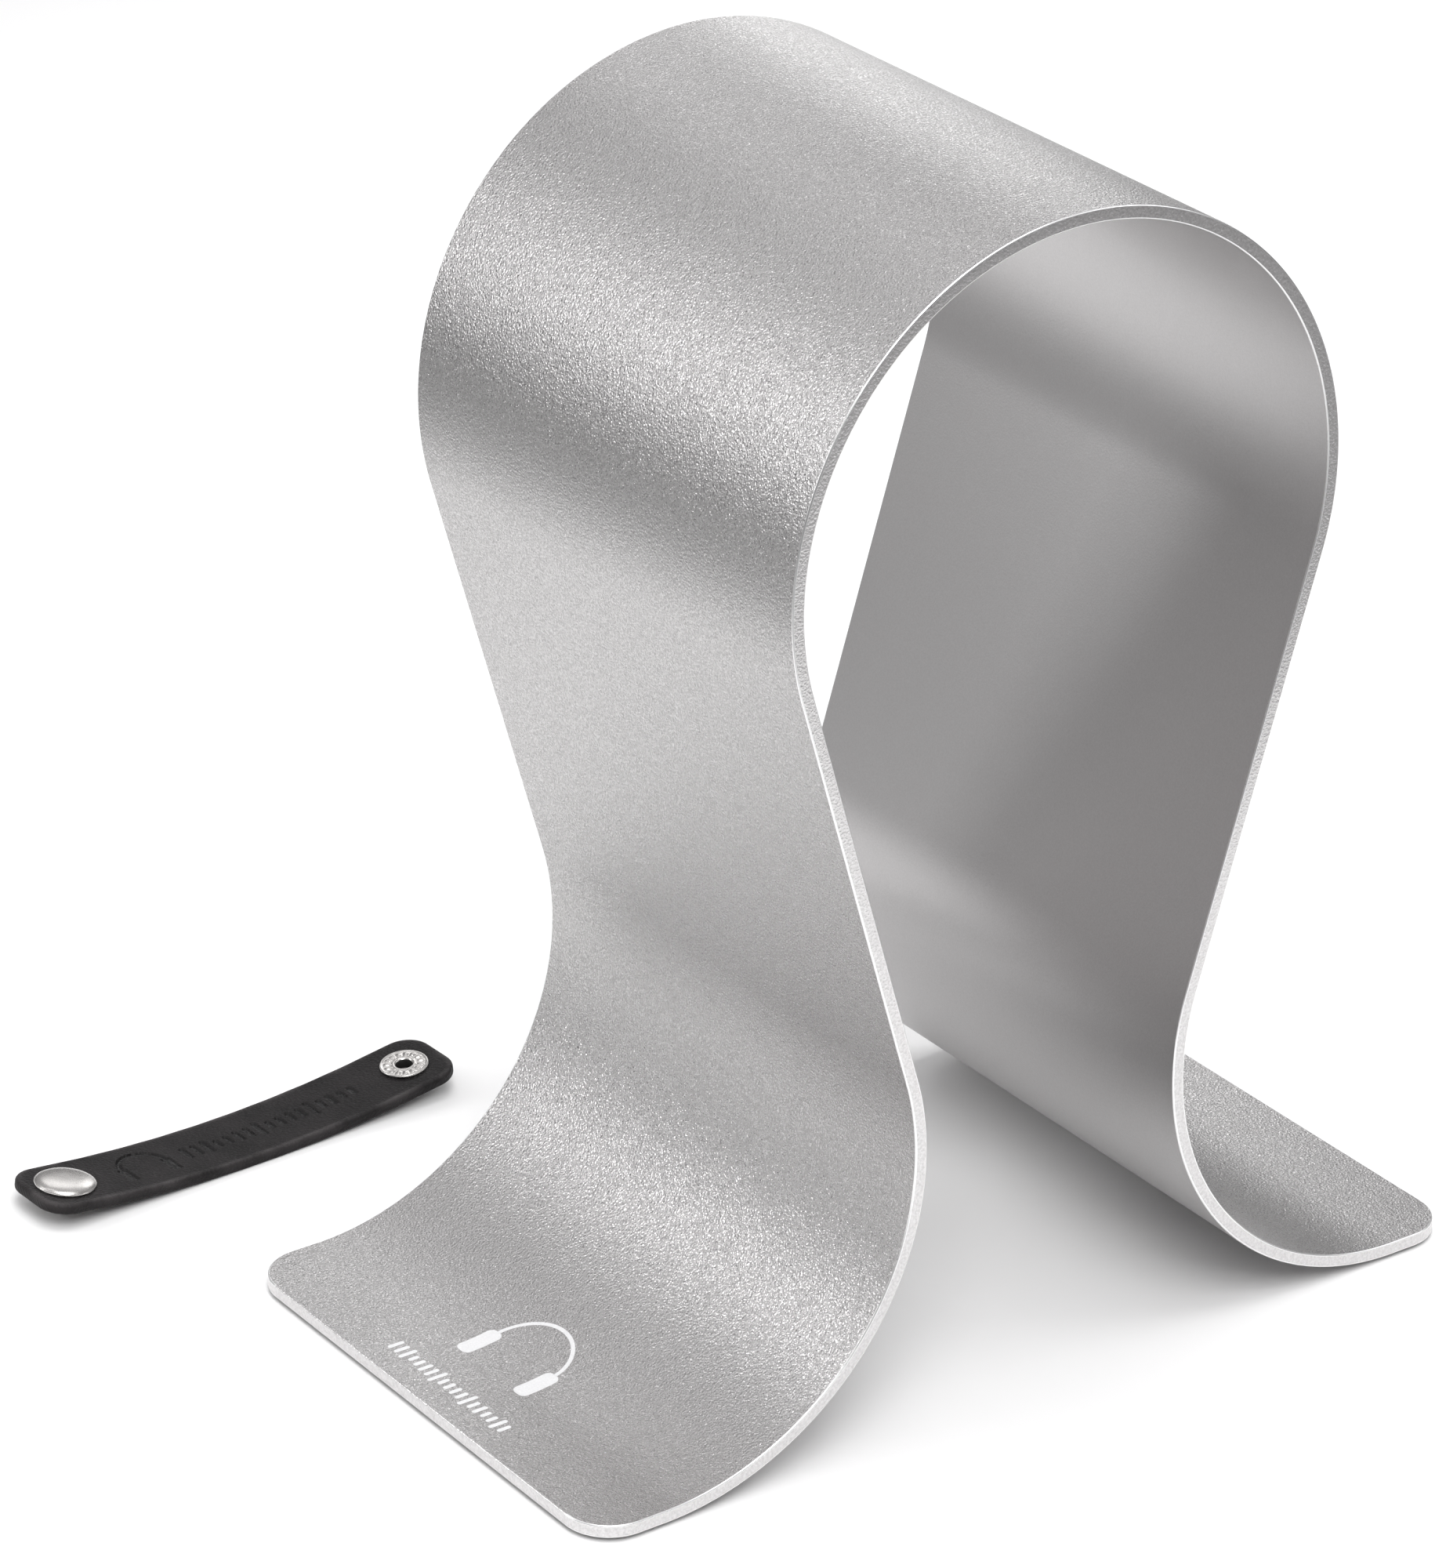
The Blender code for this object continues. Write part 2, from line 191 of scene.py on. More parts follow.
# Softboxes: name, place from the stand's middle on the desk (m), size (m), power (W)
SOFTBOXES = (
    ("left_far_low_box", (-1.05, 0.73, 0.22), (0.25, 0.28), 0.20),
    ("left_far_box", (-1.05, 0.73, 0.50), (0.25, 0.28), 1.15),
    ("left_box", (-0.80, 0.73, 0.50), (0.25, 0.28), 0.60),
    ("left_top_box", (-0.80, 0.73, 0.80), (0.25, 0.28), 0.87),
    ("left_inner_top_box", (-0.55, 0.73, 0.97), (0.25, 0.50), 0.55),
    ("back_top_box", (-0.05, 0.73, 1.15), (0.25, 0.28), 0.30),
    ("right_box", (0.25, 0.73, 0.50), (0.25, 0.28), 0.32),
    ("right_far_low_box", (0.60, 0.73, 0.22), (0.25, 0.28), 0.16),
    ("right_far_box", (0.60, 0.73, 0.50), (0.25, 0.28), 0.50),
    ("right_far_top_box", (0.60, 0.73, 1.15), (0.25, 0.28), 0.06),
    ("front_box", (-0.50, -0.90, 1.30), (0.80, 0.80), 13.0),
    ("over_box", (0.0, -0.10, 1.60), (1.00, 1.00), 11.0),
    ("side_box", (0.90, -0.50, 0.90), (0.60, 0.60), 2.4),
)


def softbox(name, place, size, power):
    data = bpy.data.lights.new(name, "AREA")
    data.shape = "RECTANGLE"
    data.size, data.size_y = size
    data.energy = power
    lamp = bpy.data.objects.new(name, data)
    bpy.context.scene.collection.objects.link(lamp)
    lamp.location = Vector((STAND_X, STAND_Y, 0.0)) + Vector(place)
    aim = Vector((STAND_X, STAND_Y, 0.12)) - lamp.location
    lamp.rotation_euler = aim.to_track_quat("-Z", "Y").to_euler()
    lamp.visible_camera = False


def make_studio():
    for name, place, size, power in SOFTBOXES:
        softbox(name, place, size, power)

    world = bpy.data.worlds.new("studio")
    bpy.context.scene.world = world
    world.use_nodes = True
    tree = world.node_tree
    room = tree.nodes["Background"]
    room.inputs["Color"].default_value = (0.98, 0.97, 0.98, 1.0)
    direction = tree.nodes.new("ShaderNodeTexCoord")
    apart = tree.nodes.new("ShaderNodeSeparateXYZ")
    brighter_above = tree.nodes.new("ShaderNodeMapRange")
    brighter_above.inputs["From Min"].default_value = 0.0
    brighter_above.inputs["From Max"].default_value = 0.6
    brighter_above.inputs["To Min"].default_value = ROOM_LOW
    brighter_above.inputs["To Max"].default_value = ROOM_HIGH
    tree.links.new(direction.outputs["Generated"], apart.inputs["Vector"])
    tree.links.new(apart.outputs["Z"], brighter_above.inputs["Value"])
    tree.links.new(brighter_above.outputs["Result"], room.inputs["Strength"])

    bpy.context.scene.view_settings.view_transform = "Standard"
    bpy.context.scene.view_settings.look = "None"


def make_floor():
    """A long white paper sweep that runs away from the viewer over a grey studio floor."""
    finish = Finish("paper_sweep", (0.9, 0.9, 0.9), 0.9)
    finish.set("Specular IOR Level", 0.1)
    apart = finish.node("ShaderNodeSeparateXYZ")
    finish.link(finish.place, apart.inputs["Vector"])
    sideways = finish.node("ShaderNodeMath", operation="ABSOLUTE")
    finish.link(apart.outputs["X"], sideways.inputs[0])
    off_side = finish.spread(sideways.outputs["Value"], 0.0, 1.0, PAPER_HALF_WIDTH - PAPER_FADE,
                             PAPER_HALF_WIDTH + PAPER_FADE)
    off_front = finish.spread(apart.outputs["Y"], 1.0, 0.0, -PAPER_FRONT - PAPER_FADE,
                              -PAPER_FRONT + PAPER_FADE)
    off_paper = finish.node("ShaderNodeMath", operation="MAXIMUM")
    finish.link(off_side, off_paper.inputs[0])
    finish.link(off_front, off_paper.inputs[1])
    finish.link(finish.mix_colour(off_paper.outputs["Value"], PAPER_WHITE, FLOOR_GREY),
                finish.shader.inputs["Base Color"])
    bpy.ops.mesh.primitive_plane_add(size=14.0, location=(STAND_X, STAND_Y, 0.0),
                                     rotation=(0.0, 0.0, -CAMERA_YAW))
    floor = bpy.context.object
    floor.name = "floor"
    floor.data.materials.append(finish.material)


# ---------------------------------------------------------------- material helpers

class Finish:
    """A Principled material, with short calls for the procedural nodes that feed it."""

    def __init__(self, name, colour, roughness, metallic=0.0):
        self.material = bpy.data.materials.new(name)
        self.material.use_nodes = True
        self.tree = self.material.node_tree
        self.shader = self.tree.nodes["Principled BSDF"]
        self.set("Base Color", (*colour, 1.0))
        self.set("Roughness", roughness)
        self.set("Metallic", metallic)
        self.place = self.node("ShaderNodeTexCoord").outputs["Object"]

    def set(self, socket, value):
        self.shader.inputs[socket].default_value = value

    def node(self, kind, **values):
        made = self.tree.nodes.new(kind)
        for key, value in values.items():
            setattr(made, key, value)
        return made

    def link(self, out, socket):
        self.tree.links.new(out, socket)

    def noise(self, scale, detail=2.0, roughness=0.5):
        made = self.node("ShaderNodeTexNoise")
        made.inputs["Scale"].default_value = scale
        made.inputs["Detail"].default_value = detail
        made.inputs["Roughness"].default_value = roughness
        self.link(self.place, made.inputs["Vector"])
        return made.outputs["Fac"]

    def cells(self, scale):
        made = self.node("ShaderNodeTexVoronoi")
        made.inputs["Scale"].default_value = scale
        self.link(self.place, made.inputs["Vector"])
        return made.outputs["Distance"]

    def spread(self, value, low, high, from_low=0.0, from_high=1.0):
        made = self.node("ShaderNodeMapRange")
        made.inputs["From Min"].default_value = from_low
        made.inputs["From Max"].default_value = from_high
        made.inputs["To Min"].default_value = low
        made.inputs["To Max"].default_value = high
        self.link(value, made.inputs["Value"])
        return made.outputs["Result"]

    def mix_colour(self, factor, first, second):
        made = self.node("ShaderNodeMix", data_type="RGBA")
        self.link(factor, made.inputs["Factor"])
        for socket, value in (("A", first), ("B", second)):
            slot = [s for s in made.inputs if s.name == socket and s.type == "RGBA"][0]
            if isinstance(value, tuple):
                slot.default_value = (*value, 1.0)
            else:
                self.link(value, slot)
        return [s for s in made.outputs if s.type == "RGBA"][0]

    def add(self, first, second, weight):
        made = self.node("ShaderNodeMath", operation="MULTIPLY_ADD")
        self.link(second, made.inputs[0])
        made.inputs[1].default_value = weight
        self.link(first, made.inputs[2])
        return made.outputs["Value"]

    def bump(self, height, distance, strength=1.0):
        made = self.node("ShaderNodeBump")
        made.inputs["Strength"].default_value = strength
        made.inputs["Distance"].default_value = distance
        self.link(height, made.inputs["Height"])
        self.link(made.outputs["Normal"], self.shader.inputs["Normal"])


def blasted_aluminium():
    """Outer face: natural anodised sheet with the coarse sparkle of bead blasting."""
    finish = Finish("blasted_aluminium", (0.53, 0.52, 0.52), 0.3, 1.0)
    grain = finish.noise(2100.0, detail=1.0)
    sparkle = finish.noise(2200.0, detail=1.5, roughness=0.6)
    finish.link(finish.mix_colour(finish.spread(sparkle, 0.0, 1.0, 0.3, 0.7),
                                  (0.44, 0.431, 0.431), (0.575, 0.565, 0.565)),
                finish.shader.inputs["Base Color"])
    finish.link(finish.spread(sparkle, 0.50, 0.12, 0.32, 0.68), finish.shader.inputs["Roughness"])
    finish.bump(grain, 0.19 * MM, 1.0)
    return finish.material


def satin_aluminium():
    """Inner face: the same sheet with a much finer, softer grain."""
    finish = Finish("satin_aluminium", (0.54, 0.53, 0.53), 0.36, 1.0)
    grain = finish.noise(2400.0, detail=1.0)
    finish.link(finish.mix_colour(grain, (0.47, 0.46, 0.46), (0.56, 0.55, 0.55)),
                finish.shader.inputs["Base Color"])
    finish.bump(grain, 0.03 * MM, 0.8)
    return finish.material


def milled_edge():
    """The sheet's cut edge: the same metal, milled, so a little lighter than the blasted faces."""
    finish = Finish("milled_edge", (0.66, 0.65, 0.65), 0.25, 1.0)
    grain = finish.noise(1700.0, detail=1.5, roughness=0.6)
    finish.link(finish.mix_colour(finish.spread(grain, 0.0, 1.0, 0.3, 0.7),
                                  (0.58, 0.57, 0.57), (0.74, 0.73, 0.73)),
                finish.shader.inputs["Base Color"])
    finish.bump(grain, 0.10 * MM, 1.0)
    return finish.material


def chamfer_metal():
    finish = Finish("chamfer_metal", (0.92, 0.92, 0.92), 0.3, 1.0)
    grain = finish.noise(3000.0, detail=1.0)
    finish.link(finish.spread(grain, 0.24, 0.36), finish.shader.inputs["Roughness"])
    return finish.material


def pad_rubber():
    finish = Finish("pad_rubber", (0.022, 0.022, 0.023), 0.75)
    speck = finish.noise(1800.0, detail=2.0)
    finish.link(finish.spread(speck, 0.65, 0.85), finish.shader.inputs["Roughness"])
    finish.bump(speck, 0.05 * MM, 0.5)
    return finish.material


def strap_leather_finish():
    """Dark brown-black leather: fine grain laid out along the strap, so it bends with it.

    The pressed marks are darker and glossier, and the edges lighter: partly rubbed wear, partly a
    painted highlight on the rounded top edges and the upper sides.
    """
    finish = Finish("strap_leather", (0.012, 0.0105, 0.011), 0.5)
    finish.set("Specular IOR Level", 0.2)
    finish.place = finish.node("ShaderNodeTexCoord").outputs["UV"]
    pebbles = finish.cells(1500.0)
    pores = finish.noise(1100.0, detail=4.0, roughness=0.65)
    cloud = finish.noise(90.0, detail=3.0)
    pressed = finish.node("ShaderNodeAttribute", attribute_name="pressed").outputs["Fac"]
    wear_and_highlight = finish.node("ShaderNodeAttribute", attribute_name="wear_and_highlight").outputs["Fac"]
    # Edge lightening: partly rubbed wear, partly a painted highlight on the rounded edges.
    wear_and_highlight_amount = finish.node("ShaderNodeMath", operation="MULTIPLY")
    finish.link(wear_and_highlight, wear_and_highlight_amount.inputs[0])
    finish.link(finish.spread(cloud, 0.1, 1.0, 0.4, 0.62), wear_and_highlight_amount.inputs[1])
    hide = finish.mix_colour(finish.spread(cloud, 0.0, 1.0, 0.35, 0.65),
                             (0.008, 0.007, 0.0073), (0.015, 0.013, 0.0135))
    wear_and_highlight_colour = finish.mix_colour(wear_and_highlight_amount.outputs["Value"], hide, (0.055, 0.050, 0.051))
    finish.link(finish.mix_colour(pressed, wear_and_highlight_colour, (0.004, 0.0036, 0.0038)),
                finish.shader.inputs["Base Color"])
    rough = finish.node("ShaderNodeMath", operation="MULTIPLY_ADD")
    finish.link(pressed, rough.inputs[0])
    rough.inputs[1].default_value = -0.2
    finish.link(finish.spread(pores, 0.44, 0.6), rough.inputs[2])
    finish.link(rough.outputs["Value"], finish.shader.inputs["Roughness"])
    finish.bump(finish.add(pores, pebbles, 1.0), 0.16 * MM, 1.0)
    return finish.material


def nickel_plate():
    finish = Finish("nickel_plate", (0.58, 0.565, 0.55), 0.26, 1.0)
    haze = finish.noise(900.0, detail=3.0)
    finish.link(finish.spread(haze, 0.22, 0.32), finish.shader.inputs["Roughness"])
    return finish.material


def bore_painted_shade():
    """Dull metal inside the snap's barrels, near black: painted shade for the dark holes."""
    finish = Finish("bore_painted_shade_metal", (0.035, 0.034, 0.033), 0.6, 0.6)
    haze = finish.noise(900.0, detail=3.0)
    finish.link(finish.spread(haze, 0.5, 0.7), finish.shader.inputs["Roughness"])
    return finish.material


def spring_steel():
    finish = Finish("spring_steel", (0.55, 0.55, 0.56), 0.25, 1.0)
    drawn = finish.noise(2200.0, detail=2.0)
    finish.link(finish.spread(drawn, 0.2, 0.35), finish.shader.inputs["Roughness"])
    return finish.material


def print_ink():
    finish = Finish("print_ink", (0.80, 0.80, 0.81), 0.45)
    fleck = finish.noise(2600.0, detail=1.0)
    finish.link(finish.mix_colour(fleck, (0.70, 0.70, 0.71), (0.88, 0.88, 0.89)),
                finish.shader.inputs["Base Color"])
    return finish.material


# ---------------------------------------------------------------- mesh helpers

def make_piece(name, bm, finishes, body, stands_for=(), smooth_angle=35.0, weighted=False):
    bmesh.ops.recalc_face_normals(bm, faces=bm.faces)
    mesh = bpy.data.meshes.new(name)
    bm.to_mesh(mesh)
    bm.free()
    mesh.shade_smooth()
    mesh.set_sharp_from_angle(angle=math.radians(smooth_angle))
    for finish in finishes:
        mesh.materials.append(finish)
    piece = bpy.data.objects.new(name, mesh)
    bpy.context.scene.collection.objects.link(piece)
    if weighted:
        weigh = piece.modifiers.new("flat_faces", "WEIGHTED_NORMAL")
        weigh.keep_sharp = True
    if body:
        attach(piece, body)
    if stands_for:
        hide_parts(*stands_for)
    return piece


def join_rings(bm, rings, material_of=None):
    """Skins a run of equally long vertex rings; material_of(index in ring) picks a face's material."""
    for first, second in zip(rings, rings[1:]):
        count = len(first)
        for index in range(count):
            after = (index + 1) % count
            face = bm.faces.new((first[index], first[after], second[after], second[index]))
            if material_of:
                face.material_index = material_of(index)


def close_end(bm, ring, top_count, side_count, material=0):
    """Closes a ring with a ladder of faces that carries its rounded edges across the end.

    The ring runs over top_count points, down side_count points, back below, and up the other side.
    """
    top = ring[:top_count]
    down = ring[top_count:top_count + side_count]
    below = ring[top_count + side_count:len(ring) - side_count]
    up = list(reversed(ring[len(ring) - side_count:]))
    faces = [bm.faces.new(top + [down[0], up[0]])]
    for index in range(side_count - 1):
        faces.append(bm.faces.new((down[index], down[index + 1], up[index + 1], up[index])))
    faces.append(bm.faces.new([down[-1]] + below + [up[-1]]))
    for face in faces:
        face.material_index = material


def turned_mesh(outline, steps, wave=None):
    """Body turned about Z from (radius, height) points; wave(angle, radius, height) lifts points."""
    bm = bmesh.new()
    closed = outline[0][0] > 0.0
    columns = []
    for step in range(steps):
        angle = 2 * math.pi * step / steps
        column = []
        for radius, height in outline:
            lift = wave(angle, radius, height) if wave else 0.0
            column.append(bm.verts.new((radius * math.cos(angle), radius * math.sin(angle),
                                        height + lift)))
        columns.append(column)
    count = len(outline)
    for step in range(steps):
        first = columns[step]
        second = columns[(step + 1) % steps]
        for index in range(count if closed else count - 1):
            after = (index + 1) % count
            bm.faces.new((first[index], second[index], second[after], first[after]))
    bmesh.ops.remove_doubles(bm, verts=bm.verts, dist=1e-7)
    return bm


# ---------------------------------------------------------------- stand

def sheet_line():
    """Places along the middle of the bent sheet, from the left foot's end to the right one's.

    Returns a function of the distance along the sheet, and the sheet's developed length.  The
    function gives the middle point (x, z) and the outer face's normal.
    """
    arch_z = STAND_HEIGHT - SHEET_THICKNESS / 2 - ARCH_RADIUS
    bend_z = SHEET_UNDERSIDE + SHEET_THICKNESS / 2 + FOOT_BEND_RADIUS
    drop = arch_z - bend_z - (ARCH_RADIUS + FOOT_BEND_RADIUS) * math.sin(LEG_LEAN)
    leg = drop / math.cos(LEG_LEAN)
    leg_x = ARCH_RADIUS * math.cos(LEG_LEAN) - drop * math.tan(LEG_LEAN)
    bend_x = leg_x + FOOT_BEND_RADIUS * math.cos(LEG_LEAN)
    sweep = math.pi / 2 + LEG_LEAN
    bend = FOOT_BEND_RADIUS * sweep
    half = FOOT_FLAT + bend + leg + ARCH_RADIUS * sweep

    def right_half(from_end):
        if from_end <= FOOT_FLAT:
            return bend_x + FOOT_FLAT - from_end, bend_z - FOOT_BEND_RADIUS, 0.0
        if from_end <= FOOT_FLAT + bend:
            turn = (from_end - FOOT_FLAT) / FOOT_BEND_RADIUS
            return (bend_x - FOOT_BEND_RADIUS * math.sin(turn),
                    bend_z - FOOT_BEND_RADIUS * math.cos(turn), turn)
        if from_end <= FOOT_FLAT + bend + leg:
            up = from_end - FOOT_FLAT - bend
            return (leg_x + up * math.sin(LEG_LEAN),
                    bend_z + FOOT_BEND_RADIUS * math.sin(LEG_LEAN) + up * math.cos(LEG_LEAN), sweep)
        turn = (half - from_end) / ARCH_RADIUS
        return ARCH_RADIUS * math.sin(turn), arch_z + ARCH_RADIUS * math.cos(turn), turn

    def place(along):
        mirror = -1.0 if along < half else 1.0
        from_end = along if along < half else 2 * half - along
        x, z, turn = right_half(min(max(from_end, 0.0), half))
        normal = Vector((mirror * math.sin(turn), 0.0, math.cos(turn)))
        return Vector((STAND_X + mirror * x, STAND_Y, z)), normal

    return place, 2 * half


def on_sheet(place, along, across, height):
    middle, normal = place(along)
    return middle + Vector((0.0, across, 0.0)) + normal * height


def half_width(from_end, inset, width, radius):
    """Half the width of a strip with round corners, its outline drawn in by inset."""
    if from_end >= radius:
        return width / 2 - inset
    reach = (radius - inset) ** 2 - (radius - from_end) ** 2
    return width / 2 - radius + math.sqrt(max(reach, 0.0))


def sheet_stations(length):
    """Distances along the sheet: close together at the round corners, even elsewhere."""
    corner = [FOOT_CORNER_RADIUS * (1 - math.cos(math.pi / 2 * step / 14)) for step in range(15)]
    fine = 1.4 * MM
    middle_count = round((length - 2 * FOOT_CORNER_RADIUS) / fine)
    middle = [FOOT_CORNER_RADIUS + (length - 2 * FOOT_CORNER_RADIUS) * step / middle_count
              for step in range(1, middle_count)]
    return corner + middle + [length - value for value in reversed(corner)]


def build_sheet():
    """The whole sheet: each station is a ring with its four long edges rounded off.

    Returns the function that gives places along it, for what is printed on it.
    """
    place, length = sheet_line()
    half_thick = SHEET_THICKNESS / 2
    round_steps = 3
    bm = bmesh.new()
    rings = []
    for along in sheet_stations(length):
        from_end = min(along, length - along)
        ring = []
        for across_sign, up_sign in ((1, 1), (1, -1), (-1, -1), (-1, 1)):
            for step in range(round_steps + 1):
                angle = math.pi / 2 * step / round_steps
                if across_sign * up_sign > 0:
                    outward, upward = math.sin(angle), math.cos(angle)
                else:
                    outward, upward = math.cos(angle), math.sin(angle)
                inset = EDGE_ROUND * (1 - outward)
                lift = half_thick - EDGE_ROUND * (1 - upward)
                start = max(from_end, inset)
                across = across_sign * half_width(start, inset, SHEET_WIDTH, FOOT_CORNER_RADIUS)
                shift = start - from_end
                moved = along + shift if along < length / 2 else along - shift
                ring.append(bm.verts.new(on_sheet(place, moved, across, up_sign * lift)))
        rings.append(ring)
    per_corner = round_steps + 1

    def material_of(index):
        within = index % per_corner
        if within < round_steps:
            return 2
        return (1, 3, 1, 0)[index // per_corner]

    join_rings(bm, rings, material_of)
    for ring in (rings[0], rings[-1]):
        from_top = ring[-1:] + ring[:-1]
        close_end(bm, from_top, 2, 2 * per_corner - 2, 1)
    finishes = [blasted_aluminium(), milled_edge(), chamfer_metal(), satin_aluminium()]
    make_piece("bent_sheet", bm, finishes, "root", ["stand_plate"], 50.0, True)
    return place


def build_pads():
    """Four rubber discs under the feet, each with a rounded rim and a shallow dished sole."""
    for end in ("left", "right"):
        for edge in ("near", "far"):
            node = f"foot_pad_{end}_{edge}"
            low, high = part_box(node)
            radius = (high.x - low.x) / 2
            height = high.z - low.z
            centre = Matrix.Translation(((low.x + high.x) / 2, (low.y + high.y) / 2, low.z))
            outline = [(0.0, 0.12 * MM), (radius - 1.2 * MM, 0.12 * MM), (radius - 0.8 * MM, 0.0),
                       (radius - 0.25 * MM, 0.0), (radius - 0.05 * MM, 0.1 * MM),
                       (radius, 0.25 * MM), (radius - 0.2 * MM, height - 0.1 * MM),
                       (radius - 0.35 * MM, height), (0.0, height)]
            bm = turned_mesh(outline, 64)
            bmesh.ops.transform(bm, matrix=centre, verts=bm.verts)
            make_piece(f"rubber_{end}_{edge}", bm, [FINISHES["rubber"]], "root", [node])


# ---------------------------------------------------------------- marks

def bar_heights(count):
    """Half heights, from 0 to 1, of a row of sound-wave bars."""
    return [0.5 + 0.5 * abs(math.sin(1.9 * index + 0.7) * math.sin(0.55 * index + 1.1))
            for index in range(count)]


BARS = bar_heights(BARS_COUNT)


def headphone_depth(x, y, size, line):
    """How deep inside a headphone pictogram a point lies: 0 at its outline, positive inside."""
    band = 0.42 * size
    radius = math.hypot(x, y)
    depth = line / 2 - abs(radius - band) if y >= 0.0 else -1.0
    for side in (-1, 1):
        dx = abs(x - side * band) - 0.085 * size
        dy = abs(y + 0.17 * size) - 0.2 * size
        depth = max(depth, -max(dx, dy))
    return depth


def bars_depth(x, y, start, pitch, heights, tall, wide):
    index = round((x - start) / pitch)
    if not 0 <= index < len(heights):
        return -1.0
    reach = heights[index] * tall - wide / 2
    over = max(abs(y) - reach, 0.0)
    return wide / 2 - math.hypot(x - start - index * pitch, over)


# ---------------------------------------------------------------- leather wrap

def strap_pieces():
    """For each CAD length: its start along the strap, its length, and its row-frame placing."""
    middle = (STRAP_LENGTH - 2 * STRAP_END_LENGTH) / STRAP_MIDDLE_PIECES
    lengths = [STRAP_END_LENGTH] + [middle] * STRAP_MIDDLE_PIECES + [STRAP_END_LENGTH]
    slope = -STRAP_CURL * (len(lengths) - 1) / 2
    along = up = run = lowest = 0.0
    starts = []
    for length in lengths:
        starts.append((run, length, along, up, slope))
        run += length
        along += length * math.cos(slope)
        up += length * math.sin(slope)
        lowest = min(lowest, up)
        slope += STRAP_CURL
    wrap = Matrix.Translation((*STRAP_CENTRE, 0.0)) @ Matrix.Rotation(STRAP_TURN, 4, "Z")
    pieces = []
    for run, length, piece_along, piece_up, slope in starts:
        frame = (wrap @ Matrix.Translation((piece_along - along / 2, 0.0, piece_up - lowest))
                 @ Matrix.Rotation(-slope, 4, "Y"))
        pieces.append((run, length, frame))
    return pieces


def strap_point(pieces, run, across, height):
    """Row-frame place of a point of the strap, the joins between the CAD lengths smoothed over."""
    index = 0
    while index < len(pieces) - 1 and run > pieces[index][0] + pieces[index][1]:
        index += 1
    start, length, frame = pieces[index]
    point = frame @ Vector((run - start, across, height))
    middle = start + length / 2
    other = index + 1 if run > middle else index - 1
    if not 0 <= other < len(pieces):
        return point
    other_start, _, other_frame = pieces[other]
    join = max(start, other_start)
    share = 0.5 * max(0.0, 1 - abs(run - join) / STRAP_JOIN_REACH) ** 2
    return point.lerp(other_frame @ Vector((run - other_start, across, height)), share)


def strap_edge_distance(run, across):
    """Distance from a point of the strap's top to the nearest edge of its rounded outline."""
    radius = STRAP_CORNER_RADIUS
    over_x = abs(run - STRAP_LENGTH / 2) - (STRAP_LENGTH / 2 - radius)
    over_y = abs(across) - (STRAP_WIDTH / 2 - radius)
    outside = math.hypot(max(over_x, 0.0), max(over_y, 0.0))
    return radius - outside - min(max(over_x, over_y), 0.0)


def pressed_share(run, across):
    """1 inside the pressed marks, 0 outside, easing over their walls."""
    depth = headphone_depth(run - MARK_CENTRE, across, MARK_SIZE, MARK_LINE)
    depth = max(depth, bars_depth(run, across, BARS_START, BARS_PITCH, BARS,
                                  BARS_HALF_HEIGHT, BARS_WIDTH))
    share = min(max(depth / MARK_WALL + 0.5, 0.0), 1.0)
    return share * share * (3 - 2 * share)


def wear_and_highlight_share(run, across, inset, down):
    """How much the edge-painted rim is lightened, partly rubbed wear and partly painted highlight:
    most along the top edge's ridge.
    """
    if down > STRAP_THICKNESS / 2:
        return 0.0
    # Side walls lighter towards the top: painted highlight as well as wear.
    if down > 0.0 or inset == 0.0:
        return 0.8 * (1 - down / (STRAP_THICKNESS / 2))
    return math.exp(-((strap_edge_distance(run, across) - 0.8 * MM) / (0.6 * MM)) ** 2)


def leather_relief(run, across):
    """Height added to the leather's top: pressed-in marks and the slight swell along the edges."""
    relief = -MARK_DEPTH * pressed_share(run, across)
    relief += 0.07 * MM * math.exp(-((strap_edge_distance(run, across) - 1.1 * MM)
                                     / (0.5 * MM)) ** 2)
    for snap, size in ((SNAP_FROM_END, 7.4 * MM), (STRAP_LENGTH - SNAP_FROM_END, 6.0 * MM)):
        distance = math.hypot(run - snap, across)
        if distance < size + 1.0 * MM:
            relief -= 0.12 * MM * min(max((size + 1.0 * MM - distance) / (1.0 * MM), 0.0), 1.0)
    return relief


def strap_stations(first, last):
    """Distances along the strap for one piece, close together at the rounded tips."""
    stations = []
    tip = STRAP_CORNER_RADIUS
    if first == 0.0:
        stations += [tip * (1 - math.cos(math.pi / 2 * step / 18)) for step in range(18)]
        first = tip
    tail = []
    if last == STRAP_LENGTH:
        tail = [STRAP_LENGTH - tip * (1 - math.cos(math.pi / 2 * step / 18))
                for step in range(17, -1, -1)]
        last = STRAP_LENGTH - tip
    count = math.ceil((last - first) / (0.25 * MM))
    stations += [first + (last - first) * step / count for step in range(count + 1)]
    return stations + tail


def strap_section(columns, round_steps):
    """The strap's outline, as (share of the half width, inset, how far down, whether on top)."""
    edge = STRAP_EDGE_ROUND
    turns = [math.pi / 2 * step / round_steps for step in range(round_steps + 1)]
    section = [(1 - 2 * step / columns, edge, 0.0, True) for step in range(columns + 1)]
    section += [(-1, edge * (1 - math.sin(turn)), edge * (1 - math.cos(turn)), False)
                for turn in turns[1:]]
    section += [(-1, edge * (1 - math.cos(turn)), STRAP_THICKNESS - edge * (1 - math.sin(turn)), False)
                for turn in turns]
    section += [(-1 + step / 4, edge, STRAP_THICKNESS, False) for step in range(1, 8)]
    section += [(1, edge * (1 - math.sin(turn)), STRAP_THICKNESS - edge * (1 - math.cos(turn)), False)
                for turn in turns]
    section += [(1, edge * (1 - math.cos(turn)), edge * (1 - math.sin(turn)), False)
                for turn in turns[:-1]]
    return section


